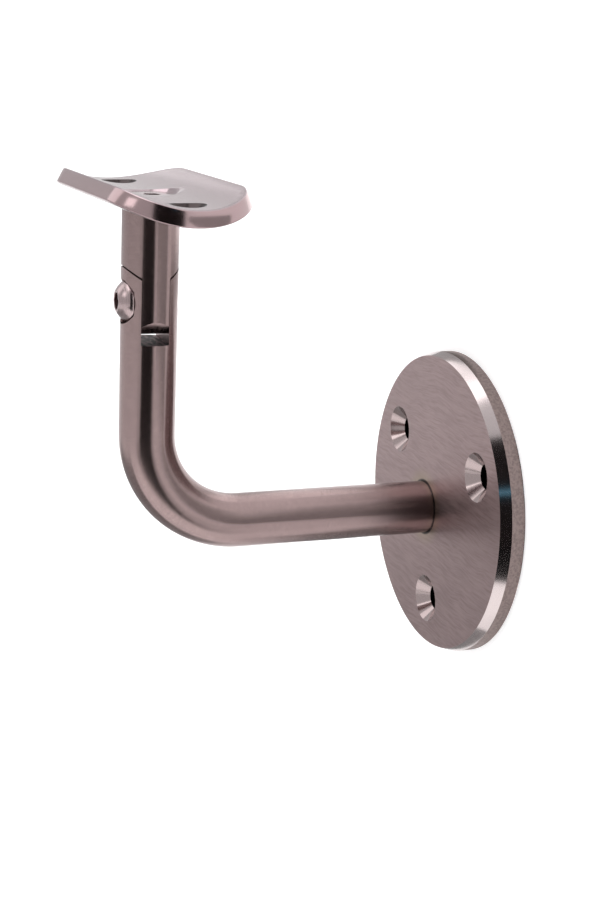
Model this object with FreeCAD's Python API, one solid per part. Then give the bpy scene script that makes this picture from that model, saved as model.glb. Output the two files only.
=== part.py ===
import FreeCAD, Part
import math
import os

# Handrail bracket in brushed stainless steel. A round wall plate carries a bent round arm.
# The arm ends in a fork, and a stem with a flat tongue tilts in it about a button-head screw.
# A curved saddle for the rail lies on the stem, held by a flat-head screw it can turn about.
#
# Millimetres. Z is up, X runs along the wall and Y points into the wall.
# The origin is the centre of the wall plate's back face, which lies on the wall at Y = 0.

# Wall plate
PLATE_DIAMETER = 80.0
PLATE_THICKNESS = 6.5
BEVEL_DEPTH = 2.8            # the turned bevel round the front edge, measured along Y
BEVEL_WIDTH = 1.0            # the same bevel, measured across the radius
HOLE_COUNT = 3
HOLE_CIRCLE = 55.0           # diameter through the middles of the wall holes
FIRST_HOLE_ANGLE = 30.0      # degrees up from X
WALL_HOLE = 6.6
WALL_SINK = 12.6             # width of the wall holes' countersinks at the front face
SINK_ANGLE = 90.0            # full angle of every countersink and flat head

# Arm and stem, both of the same round bar
ROD_DIAMETER = 14.0
WALL_TO_ROD = 84.0           # wall to the centre line of the upright
BEND_RADIUS = 24.5           # centre line of the bend
ROOT_OFFSET = 6.0            # root off the plate's centre, straight away from the first hole
ROOT_FIT = 0.05              # radial play of the bar in the plate before it is welded
WELD_DEPTH = 1.5             # plug weld behind the bar's end, ground flush with the wall face
EDGE_BREAK = 0.3

# Knuckle, all about one pivot that lies along Y
PIVOT_HEIGHT = 58.0          # above the arm's centre line
SLOT_WIDTH = 7.0
SLOT_DEPTH = 10.0            # slot floor below the pivot
EAR_RADIUS = 8.4             # rounded tops of the fork's two ears
TONGUE_RADIUS = 8.2          # rounded end of the stem's tongue
TONGUE_PLAY = 0.1            # each side of the tongue
SHOULDER_GAP = 0.4           # between the ears' tops and the stem's hollow shoulders

# M6 screws with hexagon sockets
SCREW_DIAMETER = 6.0
THREAD_PLAY = 0.03           # radial, in the tapped holes
PIVOT_PLAY = 0.06            # radial, in the tongue and in the saddle
HOLE_PLAY = 0.2              # radial, in the front ear
SCREW_BACK = 0.3             # pivot screw's end below the bar's surface
SCREW_POINT = 0.8            # chamfer at the screws' ends
HEAD_DIAMETER = 10.5         # button head
HEAD_HEIGHT = 3.3
HEAD_RIM = 0.7               # straight rim under the button's dome
SOCKET_LAND = 0.25           # flat left round the socket's corners
HEAD_PLAY = 0.35             # radial, in the pocket of the front ear
HEAD_SEAT = 2.0              # pocket floor below the bar's surface
SOCKET_WIDTH = 4.0           # across the flats
SOCKET_DEPTH = 2.0
FLAT_HEAD_DIAMETER = 12.0
FLAT_SCREW_LENGTH = 14.0     # saddle screw with its head
FLAT_HEAD_SINK = 0.25        # the head's top below the lowest line of the seat
CONE_PLAY = 0.06             # between the flat head and its countersink, along Z
TAP_DEPTH = 3.0              # tapped hole beyond the end of the saddle screw

# Saddle
SADDLE_HEIGHT = 84.0         # arm's centre line to the lowest line of the seat
SADDLE_LENGTH = 70.0
SADDLE_WIDTH = 31.0          # across the seat, in a straight line
SADDLE_RADIUS = 32.0         # of the seat
SADDLE_THICKNESS = 4.0
SADDLE_CORNER = 14.0         # corner radius of the flat blank
SADDLE_EDGE = 0.4
SADDLE_TURN = 5.0            # degrees about the stem, as the saddle stands
RAIL_HOLE_PITCH = 48.0
RAIL_HOLE = 5.2
RAIL_SINK = 8.4              # width of the rail holes' countersinks at the seat
SPOT_PLAY = 0.3              # radial, flat spot under the saddle round the stem's top

# Worked out from the sizes above
V = FreeCAD.Vector
ALONG = V(1, 0, 0)
OUT = V(0, -1, 0)            # away from the wall
UP = V(0, 0, 1)
ROD_RADIUS = ROD_DIAMETER / 2
SCREW_RADIUS = SCREW_DIAMETER / 2
SLOPE = math.tan(math.radians(SINK_ANGLE / 2))
AWAY = math.radians(FIRST_HOLE_ANGLE + 180)
ARM_X = ROOT_OFFSET * math.cos(AWAY)
ARM_Z = ROOT_OFFSET * math.sin(AWAY)
PIVOT = V(ARM_X, -WALL_TO_ROD, ARM_Z + PIVOT_HEIGHT)
SEAT = V(ARM_X, -WALL_TO_ROD, ARM_Z + SADDLE_HEIGHT)     # lowest line of the rail's seat
TONGUE_WIDTH = SLOT_WIDTH - 2 * TONGUE_PLAY
HEAD_FLOOR = ROD_RADIUS - HEAD_SEAT                      # pocket floor from the bar's centre
SCREW_LENGTH = HEAD_FLOOR + math.sqrt(ROD_RADIUS ** 2 - SCREW_RADIUS ** 2) - SCREW_BACK
UNDER_RADIUS = SADDLE_RADIUS + SADDLE_THICKNESS
SPOT_RADIUS = ROD_RADIUS + SPOT_PLAY
# The saddle's underside curves up beside its lowest line. The flat spot just clears that.
SPOT_DEPTH = UNDER_RADIUS - math.sqrt(UNDER_RADIUS ** 2 - SPOT_RADIUS ** 2)
STEM_TOP = SEAT - UP * (SADDLE_THICKNESS - SPOT_DEPTH)
HEAD_TOP = SEAT - UP * FLAT_HEAD_SINK
SADDLE_SCREW_END = HEAD_TOP - UP * FLAT_SCREW_LENGTH


def turned(points, base, axis):
    """A solid of revolution. Each point is (radius, distance along the axis from base)."""
    across = axis.cross(ALONG) if abs(axis.dot(ALONG)) < 0.5 else axis.cross(UP)
    corners = [base + across * r + axis * d for r, d in points]
    face = Part.Face(Part.makePolygon(corners + corners[:1]))
    return face.revolve(base, axis, 360)


def countersink(width, base, axis, reach):
    """A drill for one countersink: width across at base, narrowing against the axis."""
    rise = width / 2 / SLOPE
    wide = (rise + reach) * SLOPE
    return turned([(0, -rise), (wide, reach), (0, reach)], base, axis)


def socket_cut(top, axis):
    """The hexagon key's socket, sunk against the axis from top, with a drilled cone below."""
    corner = SOCKET_WIDTH / math.sqrt(3)
    side = axis.cross(ALONG)
    ring = []
    for k in range(7):
        angle = math.radians(60 * k)
        ring.append(top + ALONG * corner * math.cos(angle) + side * corner * math.sin(angle))
    hexagon = Part.Face(Part.makePolygon(ring)).extrude(axis * -SOCKET_DEPTH)
    radius = SOCKET_WIDTH / 2
    cone = turned([(0, 0), (radius, 0), (0, -radius / 2)], top - axis * SOCKET_DEPTH, axis)
    return hexagon.fuse(cone)


def wall_hole_places():
    """Middles of the wall holes, on the wall face."""
    step = 360.0 / HOLE_COUNT
    angles = [math.radians(FIRST_HOLE_ANGLE + step * k) for k in range(HOLE_COUNT)]
    return [(ALONG * math.cos(a) + UP * math.sin(a)) * (HOLE_CIRCLE / 2) for a in angles]


def wall_plate():
    """A turned disc with a bevelled front edge, countersunk holes and the arm's bore."""
    radius = PLATE_DIAMETER / 2
    outline = [(0, 0), (radius - EDGE_BREAK, 0), (radius, EDGE_BREAK),
               (radius, PLATE_THICKNESS - BEVEL_DEPTH),
               (radius - BEVEL_WIDTH, PLATE_THICKNESS), (0, PLATE_THICKNESS)]
    plate = turned(outline, V(0, 0, 0), OUT)
    for place in wall_hole_places():
        plate = plate.cut(Part.makeCylinder(WALL_HOLE / 2, PLATE_THICKNESS, place, OUT))
        front = place + OUT * PLATE_THICKNESS
        plate = plate.cut(countersink(WALL_SINK, front, OUT, 1))
    root = V(ARM_X, 0, ARM_Z)
    return plate.cut(Part.makeCylinder(ROD_RADIUS + ROOT_FIT, PLATE_THICKNESS, root, OUT))


def root_weld():
    """The plug weld that fills the plate's bore behind the end of the bar."""
    return Part.makeCylinder(ROD_RADIUS + ROOT_FIT, WELD_DEPTH, V(ARM_X, 0, ARM_Z), OUT)


def bent_bar():
    """The arm's round bar: out of the plate, round the bend and up to the top of the ears."""
    start = V(ARM_X, -WELD_DEPTH, ARM_Z)
    bend_start = V(ARM_X, BEND_RADIUS - WALL_TO_ROD, ARM_Z)
    bend_end = V(ARM_X, -WALL_TO_ROD, ARM_Z + BEND_RADIUS)
    lean = BEND_RADIUS * (1 - math.sqrt(0.5))
    bend_middle = V(ARM_X, lean - WALL_TO_ROD, ARM_Z + lean)
    top = PIVOT + UP * EAR_RADIUS
    path = Part.Wire([Part.makeLine(start, bend_start),
                      Part.Arc(bend_start, bend_middle, bend_end).toShape(),
                      Part.makeLine(bend_end, top)])
    ring = Part.Wire(Part.makeCircle(ROD_RADIUS, start, OUT))
    return path.makePipeShell([ring], True, False)


def pivot_drum(radius):
    """A wide drum about the pivot, longer than the bar is thick."""
    return Part.makeCylinder(radius, 2 * ROD_DIAMETER, PIVOT - OUT * ROD_DIAMETER, OUT)


def slab(width, bottom, top):
    """A wide block round the upright: width across Y, and heights counted from the pivot."""
    reach = 2 * ROD_DIAMETER
    corner = PIVOT + V(-reach / 2, -width / 2, bottom)
    return Part.makeBox(reach, width, top - bottom, corner)


def arm():
    """The bent bar with its fork, the screw's pocket and the two screw holes."""
    bar = bent_bar()
    above = slab(2 * ROD_DIAMETER, 0, 2 * EAR_RADIUS)
    bar = bar.cut(above.cut(pivot_drum(EAR_RADIUS)))
    bar = bar.cut(slab(SLOT_WIDTH, -SLOT_DEPTH, 2 * EAR_RADIUS))
    pocket_radius = HEAD_DIAMETER / 2 + HEAD_PLAY
    floor = PIVOT + OUT * HEAD_FLOOR
    bar = bar.cut(Part.makeCylinder(pocket_radius, ROD_RADIUS, floor, OUT))
    bar = bar.cut(Part.makeCylinder(SCREW_RADIUS + HOLE_PLAY, ROD_RADIUS, PIVOT, OUT))
    return bar.cut(Part.makeCylinder(SCREW_RADIUS + THREAD_PLAY, ROD_DIAMETER, PIVOT, -OUT))


def saddle_stem():
    """Round bar above, a flat tongue with a round end below, hollow shoulders between them."""
    foot = PIVOT - UP * TONGUE_RADIUS
    height = STEM_TOP.z - foot.z
    stem = Part.makeCylinder(ROD_RADIUS, height, foot, UP)
    rim = [e for e in stem.Edges if e.Closed and abs(e.CenterOfMass.z - STEM_TOP.z) < 1e-6]
    stem = stem.makeChamfer(EDGE_BREAK, rim)
    below = slab(2 * ROD_DIAMETER, -2 * TONGUE_RADIUS, 0)
    stem = stem.cut(below.cut(pivot_drum(TONGUE_RADIUS)))
    sides = below.fuse(pivot_drum(EAR_RADIUS + SHOULDER_GAP))
    stem = stem.cut(sides.cut(slab(TONGUE_WIDTH, -2 * EAR_RADIUS, 2 * EAR_RADIUS)))
    pin_hole = Part.makeCylinder(SCREW_RADIUS + PIVOT_PLAY, ROD_DIAMETER,
                                 PIVOT - OUT * ROD_RADIUS, OUT)
    return stem.cut(pin_hole).cut(tapped_hole())


def tapped_hole():
    """Blind hole down the stem for the saddle screw, with the drill's cone at its end."""
    radius = SCREW_RADIUS + THREAD_PLAY
    bottom = SADDLE_SCREW_END - UP * TAP_DEPTH
    depth = STEM_TOP.z - bottom.z
    return turned([(0, -radius / 2), (radius, 0), (radius, depth), (0, depth)], bottom, UP)


def pivot_screw():
    """M6 button-head screw: its head lies in the pocket and its end in the tapped rear ear."""
    seat = PIVOT + OUT * HEAD_FLOOR
    shank = turned([(0, -SCREW_LENGTH), (SCREW_RADIUS - SCREW_POINT, -SCREW_LENGTH),
                    (SCREW_RADIUS, SCREW_POINT - SCREW_LENGTH), (SCREW_RADIUS, 0), (0, 0)],
                   seat, OUT)
    screw = shank.fuse(button_head(seat)).removeSplitter()
    return screw.cut(socket_cut(seat + OUT * HEAD_HEIGHT, OUT))


def button_head(seat):
    """A short cylinder whose top is part of a ball, down to the rim's height at the edge."""
    radius = HEAD_DIAMETER / 2
    flat = SOCKET_WIDTH / math.sqrt(3) + SOCKET_LAND
    # The ball's middle is on the screw's axis, equally far from the rim and the flat's edge.
    drop = (radius ** 2 - flat ** 2) / (2 * (HEAD_HEIGHT - HEAD_RIM))
    middle = (HEAD_HEIGHT + HEAD_RIM) / 2 - drop
    ball = Part.makeSphere(math.hypot(radius, HEAD_RIM - middle), seat + OUT * middle)
    return Part.makeCylinder(radius, HEAD_HEIGHT, seat, OUT).common(ball)


def saddle_screw():
    """M6 flat-head screw: its cone lies in the saddle's countersink, its end in the stem."""
    radius = FLAT_HEAD_DIAMETER / 2
    cone = (radius - SCREW_RADIUS) / SLOPE
    screw = turned([(0, 0), (radius, 0), (SCREW_RADIUS, -cone),
                    (SCREW_RADIUS, SCREW_POINT - FLAT_SCREW_LENGTH),
                    (SCREW_RADIUS - SCREW_POINT, -FLAT_SCREW_LENGTH),
                    (0, -FLAT_SCREW_LENGTH)], HEAD_TOP, UP)
    return screw.cut(socket_cut(HEAD_TOP, UP))


def on_sheet(radius, along, across):
    """A point of the curved sheet. across is the distance round the seat's surface."""
    angle = across / SADDLE_RADIUS
    return SEAT + V(along, radius * math.sin(angle), SADDLE_RADIUS - radius * math.cos(angle))


def blank_outline(radius):
    """The blank's rounded rectangle, wrapped round the sheet's axis at one radius."""
    half_length = SADDLE_LENGTH / 2 - SADDLE_CORNER
    half_arc = SADDLE_RADIUS * math.asin(SADDLE_WIDTH / 2 / SADDLE_RADIUS) - SADDLE_CORNER
    corners, ends = [], []
    for side_x, side_y, start in ((1, 1, 0), (-1, 1, 90), (-1, -1, 180), (1, -1, 270)):
        angles = [math.radians(start + 22.5 * k) for k in range(5)]
        points = [on_sheet(radius, side_x * half_length + SADDLE_CORNER * math.cos(a),
                           side_y * half_arc + SADDLE_CORNER * math.sin(a)) for a in angles]
        curve = Part.BSplineCurve()
        curve.interpolate(points)
        corners.append(curve.toShape())
        ends.append((points[0], points[-1]))
    edges = []
    for k, corner in enumerate(corners):
        here, there = ends[k][1], ends[(k + 1) % 4][0]
        edges.append(corner)
        if k % 2 == 0:
            edges.append(Part.makeLine(here, there))
        else:
            low = on_sheet(radius, here.x - SEAT.x, 0)
            edges.append(Part.Arc(here, low, there).toShape())
    return edges


def curved_blank():
    """The saddle's sheet, rolled to the seat's radius, with its edges square to the sheet."""
    spare = SADDLE_THICKNESS / 2
    inner = blank_outline(SADDLE_RADIUS - spare)
    outer = blank_outline(UNDER_RADIUS + spare)
    walls = Part.Shell([Part.makeRuledSurface(i, o) for i, o in zip(inner, outer)])
    centre = SEAT + UP * SADDLE_RADIUS - ALONG * SADDLE_LENGTH
    tube = Part.makeCylinder(UNDER_RADIUS, 2 * SADDLE_LENGTH, centre, ALONG)
    tube = tube.cut(Part.makeCylinder(SADDLE_RADIUS, 2 * SADDLE_LENGTH, centre, ALONG))
    pieces = tube.generalFuse([walls])[0].Solids
    return min(pieces, key=lambda piece: piece.Volume)


def softened(sheet):
    """The same sheet with the rims of both its faces broken a little."""
    rims = [e for e in sheet.Edges if not is_across(e)]
    return sheet.makeChamfer(SADDLE_EDGE, rims)


def is_across(edge):
    """True for the short edges that run through the sheet's thickness."""
    return edge.Length < SADDLE_THICKNESS * 1.05


def saddle_plate():
    """The curved sheet with its screw holes and the flat spot that lies on the stem."""
    sheet = softened(curved_blank())
    reach = SADDLE_RADIUS
    low = SEAT - UP * 2 * SADDLE_THICKNESS
    pin = SCREW_RADIUS + PIVOT_PLAY
    sheet = sheet.cut(Part.makeCylinder(pin, reach, low, UP))
    head_sink = FLAT_HEAD_DIAMETER + 2 * (FLAT_HEAD_SINK + CONE_PLAY) * SLOPE
    sheet = sheet.cut(countersink(head_sink, SEAT, UP, SADDLE_THICKNESS))
    for side in (-1, 1):
        shift = ALONG * (side * RAIL_HOLE_PITCH / 2)
        sheet = sheet.cut(Part.makeCylinder(RAIL_HOLE / 2, reach, low + shift, UP))
        sheet = sheet.cut(countersink(RAIL_SINK, SEAT + shift, UP, SADDLE_THICKNESS))
    sheet = sheet.cut(Part.makeCylinder(SPOT_RADIUS, STEM_TOP.z - low.z, low, UP))
    sheet.rotate(SEAT, UP, SADDLE_TURN)
    return sheet


PIECES = {
    "wall_plate": wall_plate,
    "root_weld": root_weld,
    "arm": arm,
    "pivot_screw": pivot_screw,
    "saddle_stem": saddle_stem,
    "saddle_screw": saddle_screw,
    "saddle_plate": saddle_plate,
}

os.makedirs("parts", exist_ok=True)
for name, build in PIECES.items():
    solid = build()
    if solid.ShapeType != "Solid":
        solid = solid.Solids[0]
    solid.exportStep("parts/" + name + ".step")
    print(name, "valid" if solid.isValid() else "NOT VALID", round(solid.Volume, 1), "mm3")
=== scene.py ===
# %% [markdown]
# # A wall bracket for a handrail, dressed in brushed stainless steel
#
# The bracket is a round wall plate, a bent round arm, a knuckle and a curved saddle. Its solids
# come ready made. The plate, the weld, the arm and the stem keep their shapes and get a finish:
# ground, brushed and turned steel, with the marks that the tools left. The saddle and the two
# screws are made again here, because a rounded edge, a thread and a socket need finer meshes.
# The last steps set up the room and the light that show the steel.

# %% Load the finished solids
import math

import bmesh
import bpy
import numpy as np
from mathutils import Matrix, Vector
from mathutils.geometry import delaunay_2d_cdt


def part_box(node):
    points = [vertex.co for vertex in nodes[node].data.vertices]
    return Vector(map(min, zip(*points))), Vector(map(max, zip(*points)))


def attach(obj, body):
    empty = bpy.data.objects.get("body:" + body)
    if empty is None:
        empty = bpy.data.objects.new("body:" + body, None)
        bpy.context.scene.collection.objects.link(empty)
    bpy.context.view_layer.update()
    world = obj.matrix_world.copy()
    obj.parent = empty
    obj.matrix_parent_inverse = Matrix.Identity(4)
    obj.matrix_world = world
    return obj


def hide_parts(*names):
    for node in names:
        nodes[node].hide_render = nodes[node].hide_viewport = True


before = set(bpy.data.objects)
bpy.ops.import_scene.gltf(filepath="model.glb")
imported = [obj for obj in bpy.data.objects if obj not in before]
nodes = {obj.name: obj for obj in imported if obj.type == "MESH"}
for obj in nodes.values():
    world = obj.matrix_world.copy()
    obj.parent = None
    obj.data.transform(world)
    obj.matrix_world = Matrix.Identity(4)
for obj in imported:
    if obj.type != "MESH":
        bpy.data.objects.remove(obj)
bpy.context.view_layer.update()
MM = 0.001
print("pieces:", ", ".join(sorted(nodes)))

# %% [markdown]
# ## Where things are
#
# Every pattern below has to know where the bar runs and where the pivot is. Those places are
# read from the solids' boxes, so they follow the model if it changes.

# %% Read the main places from the solids
plate_low, plate_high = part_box("wall_plate")
weld_low, weld_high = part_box("root_weld")
pivot_low, pivot_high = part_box("pivot_screw")
stem_low, stem_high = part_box("saddle_stem")
PLATE_RADIUS = (plate_high.x - plate_low.x) / 2
BAR_X = (stem_low.x + stem_high.x) / 2
UPRIGHT_Y = (stem_low.y + stem_high.y) / 2
BAR_RADIUS = (stem_high.x - stem_low.x) / 2
PIVOT_Z = (pivot_low.z + pivot_high.z) / 2
ARM_Z = (weld_low.z + weld_high.z) / 2
print(f"bar radius {BAR_RADIUS / MM:.2f} mm, pivot {(PIVOT_Z - ARM_Z) / MM:.1f} mm above the arm")

# %% [markdown]
# ## Camera
#
# A wall bracket is looked at from beside it and a little above, so that the arm, the knuckle and
# the round plate all show. A long lens keeps the plate's circle a clean ellipse.

# %% Place the camera
def new_object(name, data):
    """An object for a mesh, a lamp or a camera, put into the scene."""
    made = bpy.data.objects.new(name, data)
    bpy.context.scene.collection.objects.link(made)
    return made


camera_data = bpy.data.cameras.new("camera")
camera_data.lens = 62.62
camera_data.sensor_width = 36.0
camera_data.clip_start = 0.01
camera = new_object("camera", camera_data)
camera.location = (0.36034, -0.18205, 0.12434)
camera.rotation_euler = [math.radians(a) for a in (74.3425, -2.5876, 69.8892)]
bpy.context.scene.camera = camera
print("camera is", round(camera.location.length, 3), "m from the plate's centre")

# %% [markdown]
# ## Helpers for materials
#
# A material is a small network of nodes. One helper makes a node and fills its sockets, and the
# others are built on it: arithmetic, a smooth step, noise stretched along an axis, and a mix of
# two colours. With them each finish below takes only a few lines.

# %% Nodes and arithmetic
def feed(tree, socket, value):
    """Links an output socket, or sets a plain value."""
    if isinstance(value, bpy.types.NodeSocket):
        tree.links.new(value, socket)
    else:
        socket.default_value = value


def node(tree, kind, *values, settings=None, **inputs):
    """Makes a node. values fill its sockets in order, inputs fill sockets by name, and
    settings are the node's own properties."""
    made = tree.nodes.new(kind)
    for key, setting in (settings or {}).items():
        setattr(made, key, setting)
    for socket, value in zip(made.inputs, values):
        feed(tree, socket, value)
    for name, value in inputs.items():
        feed(tree, made.inputs[name], value)
    return made


def maths(tree, operation, *values):
    """One step of arithmetic on numbers or sockets."""
    return node(tree, "ShaderNodeMath", *values, settings={"operation": operation}).outputs[0]


def vector_node(tree, operation, *values):
    """One step of arithmetic on vectors."""
    return node(tree, "ShaderNodeVectorMath", *values, settings={"operation": operation})


def axes(tree, vector):
    """The X, Y and Z of a vector."""
    return tuple(node(tree, "ShaderNodeSeparateXYZ", vector).outputs)


def vector_of(tree, x, y, z):
    """The vector with this X, Y and Z."""
    return node(tree, "ShaderNodeCombineXYZ", x, y, z).outputs[0]


print("arithmetic helpers ready")

# %% Smooth steps, noise and mixes
PLAIN = (1.0, 1.0, 1.0)


def ramp(tree, value, low, high, start=0.0, end=1.0):
    """Goes smoothly from start to end while value goes from low to high."""
    return node(tree, "ShaderNodeMapRange", value, low, high, start, end,
                settings={"interpolation_type": "SMOOTHSTEP"}).outputs[0]


def grain(tree, place, scale, stretch=PLAIN, detail=4.0):
    """Noise with about scale cells to the metre, each stretched along the three axes."""
    squeezed = vector_node(tree, "MULTIPLY", place, tuple(scale / s for s in stretch))
    return node(tree, "ShaderNodeTexNoise", Vector=squeezed.outputs[0], Scale=1.0,
                Detail=detail, Roughness=0.6).outputs[0]


def mixed(tree, share, first, second):
    """A colour between first and second; share 0 gives the first."""
    made = node(tree, "ShaderNodeMix", share, settings={"data_type": "RGBA"})
    feed(tree, made.inputs[6], first)
    feed(tree, made.inputs[7], second)
    return made.outputs[2]


def shade(colour, share):
    """A colour times a number; its alpha stays one."""
    return tuple(c * share for c in colour[:3]) + (1.0,)


print("noise and colour helpers ready")

# %% An empty metal, its bumps, and how a solid puts it on
def bare_material(name):
    """A material with no nodes yet, and its tree."""
    material = bpy.data.materials.new(name)
    material.use_nodes = True
    material.node_tree.nodes.clear()
    return material, material.node_tree


def steel_material(name):
    """A metal: the material, its tree, its Principled shader and the object coordinates."""
    material, tree = bare_material(name)
    shader = node(tree, "ShaderNodeBsdfPrincipled", Metallic=1.0)
    node(tree, "ShaderNodeOutputMaterial", shader.outputs[0])
    return material, tree, shader, node(tree, "ShaderNodeTexCoord").outputs["Object"]


def bumped(tree, shader, height, depth, base=None):
    """Feeds a height into the shader's normal. depth is in metres for a height of one."""
    made = node(tree, "ShaderNodeBump", Strength=1.0, Distance=depth, Height=height)
    if base is not None:
        feed(tree, made.inputs["Normal"], base)
    feed(tree, shader.inputs["Normal"], made.outputs[0])


def surface_normal(tree):
    """The way the surface faces."""
    return node(tree, "ShaderNodeNewGeometry").outputs["Normal"]


def dress(piece, material):
    """Gives a ready-made solid one material."""
    nodes[piece].data.materials.clear()
    nodes[piece].data.materials.append(material)
    print(piece, "wears", material.name)


print("metal helpers ready")

# %% [markdown]
# ## The bar's satin finish
#
# Round bar is ground by a belt while it turns, so its fine scratches run round it. After bending
# they still do. A pattern on plain object coordinates would cut straight through the bend, so the
# nodes first straighten the bar: they work out how far along it a point lies.

# %% Straighten the bent bar
BEND_RADIUS = 24.5 * MM
arm_low, arm_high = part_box("arm")
BEND_Y = arm_low.y + BAR_RADIUS + BEND_RADIUS
BEND_Z = ARM_Z + BEND_RADIUS


def straightened(tree, place):
    """(distance along the bar, distance from the bend's centre, X), and the bar's direction.

    Beyond the bend's centre the shares of Y and Z are cut off at zero, so one formula serves the
    arm, the bend and the upright: the angle is 0 on the arm and a quarter turn on the upright."""
    x, y, z = axes(tree, place)
    out = maths(tree, "MAXIMUM", maths(tree, "SUBTRACT", BEND_Y, y), 0.0)
    down = maths(tree, "MAXIMUM", maths(tree, "SUBTRACT", BEND_Z, z), 0.0)
    radius = maths(tree, "SQRT", maths(tree, "ADD", maths(tree, "POWER", out, 2.0),
                                       maths(tree, "POWER", down, 2.0)))
    angle = maths(tree, "ARCTAN2", out, down)
    before = maths(tree, "MAXIMUM", maths(tree, "SUBTRACT", y, BEND_Y), 0.0)
    after = maths(tree, "MAXIMUM", maths(tree, "SUBTRACT", z, BEND_Z), 0.0)
    bend = maths(tree, "MULTIPLY", angle, BEND_RADIUS)
    along = maths(tree, "SUBTRACT", maths(tree, "ADD", bend, after), before)
    heading = vector_of(tree, 0.0, maths(tree, "MULTIPLY", maths(tree, "COSINE", angle), -1.0),
                        maths(tree, "SINE", angle))
    return vector_of(tree, along, radius, x), heading


print(f"the arm reaches {(arm_high.y - arm_low.y) / MM:.1f} mm along Y and bends round "
      f"({BEND_Y / MM:.1f}, {BEND_Z / MM:.1f}) mm")

# %% [markdown]
# A cutter makes the slot in the fork. Its floor is painted shade, nearly black, with small
# painted glints. The floor is told from the rest by two things: it faces straight up and it
# lies high.

# %% The slot's floor, painted shade with painted glints
SLOT_LOWEST = PIVOT_Z - 15 * MM
SLOT_SHADE = (0.015, 0.011, 0.011, 1.0)
SLOT_GLINT = (0.20, 0.15, 0.15, 1.0)


def slot_floor(tree, place):
    """A share that is 1 on the slot's floor and 0 elsewhere, and its painted shade and glints."""
    level = ramp(tree, axes(tree, surface_normal(tree))[2], 0.95, 0.99)
    high_up = maths(tree, "GREATER_THAN", axes(tree, place)[2], SLOT_LOWEST)
    glints = grain(tree, place, 800.0, stretch=(3.0, 1.0, 1.0), detail=2.0)
    colour = mixed(tree, ramp(tree, glints, 0.42, 0.6), SLOT_SHADE, SLOT_GLINT)
    return maths(tree, "MULTIPLY", high_up, level), colour


print("the slot's floor lies above", round(SLOT_LOWEST / MM, 1), "mm")

# %% [markdown]
# The finish has three scales: fine scratches, a soft mottle and wide duller patches. The shader's
# anisotropy stretches each highlight, and its tangent is the bar's own direction.

# %% Satin steel for the arm and the stem
STEEL = (0.345, 0.254, 0.248, 1.0)
SCRATCH_DEPTH = 0.004 * MM
STRETCHED_SHINE = 0.8
FLOOR_ROUGHER = 0.3


def satin_bar(name, tint=1.0):
    """Fine scratches round the bar, a soft mottle and duller patches. tint scales its colour."""
    material, tree, shader, place = steel_material(name)
    bar, heading = straightened(tree, place)
    fine = grain(tree, bar, 9000.0, stretch=(1.0, 14.0, 14.0))
    mottle = grain(tree, bar, 420.0, detail=3.0)
    patches = grain(tree, bar, 60.0, stretch=(3.0, 1.0, 1.0), detail=2.0)
    light, dark = shade(STEEL, tint), shade(STEEL, 0.8 * tint)
    colour = mixed(tree, ramp(tree, fine, 0.35, 0.65), dark, light)
    colour = mixed(tree, ramp(tree, mottle, 0.3, 0.75, 0.0, 0.35), colour, dark)
    # painted shade with painted glints covers the slot's floor
    floor, slot_shade_colour = slot_floor(tree, place)
    feed(tree, shader.inputs["Base Color"], mixed(tree, floor, colour, slot_shade_colour))
    rough = maths(tree, "ADD", ramp(tree, patches, 0.3, 0.7, 0.20, 0.25),
                  ramp(tree, fine, 0.3, 0.7, 0.0, 0.03))
    rough = maths(tree, "ADD", rough, maths(tree, "MULTIPLY", floor, FLOOR_ROUGHER))
    feed(tree, shader.inputs["Roughness"], rough)
    shader.inputs["Anisotropic"].default_value = STRETCHED_SHINE
    feed(tree, shader.inputs["Tangent"], heading)
    height = maths(tree, "ADD", fine, maths(tree, "MULTIPLY", mottle, 0.6))
    bumped(tree, shader, height, SCRATCH_DEPTH)
    return material


dress("arm", satin_bar("satin_bar"))
dress("saddle_stem", satin_bar("satin_stem", 0.92))

# %% [markdown]
# ## The wall plate
#
# The plate is cut from sheet with a brushed face. Its rim is sawn and dull, and its bevel and
# countersinks are turned bright on the lathe. One material does all of it, because the distance
# from the middle and the way the surface faces say which finish a point has.

# %% Distances and directions round an axis
def distance_from(tree, x, z, middle_x, middle_z):
    """How far a point lies from an axis along Y: the root of the two squares added up."""
    across = maths(tree, "POWER", maths(tree, "SUBTRACT", x, middle_x), 2.0)
    up = maths(tree, "POWER", maths(tree, "SUBTRACT", z, middle_z), 2.0)
    return maths(tree, "SQRT", maths(tree, "ADD", across, up))


def away_from(tree, x, z, middle_x, middle_z):
    """The direction of length one that points straight away from an axis along Y."""
    offset = vector_of(tree, maths(tree, "SUBTRACT", x, middle_x), 0.0,
                       maths(tree, "SUBTRACT", z, middle_z))
    return vector_node(tree, "NORMALIZE", offset).outputs[0]


def scaled(tree, vector, amount):
    """A vector times a number; either may be a socket."""
    made = vector_node(tree, "SCALE", vector)
    feed(tree, made.inputs["Scale"], amount)
    return made.outputs[0]


def summed(tree, first, second):
    """The sum of two vectors."""
    return vector_node(tree, "ADD", first, second).outputs[0]


def picked(tree, share, first, second):
    """first * (1 - share) + second * share, for two vectors."""
    return summed(tree, scaled(tree, first, maths(tree, "SUBTRACT", 1.0, share)),
                  scaled(tree, second, share))


print("plate radius", round(PLATE_RADIUS / MM, 1), "mm")

# %% [markdown]
# The bevel and the countersinks are cones, but their meshes have facets. On polished steel each
# facet would show as a stripe. A cone's exact direction is easy to state, so the nodes state it.

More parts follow.
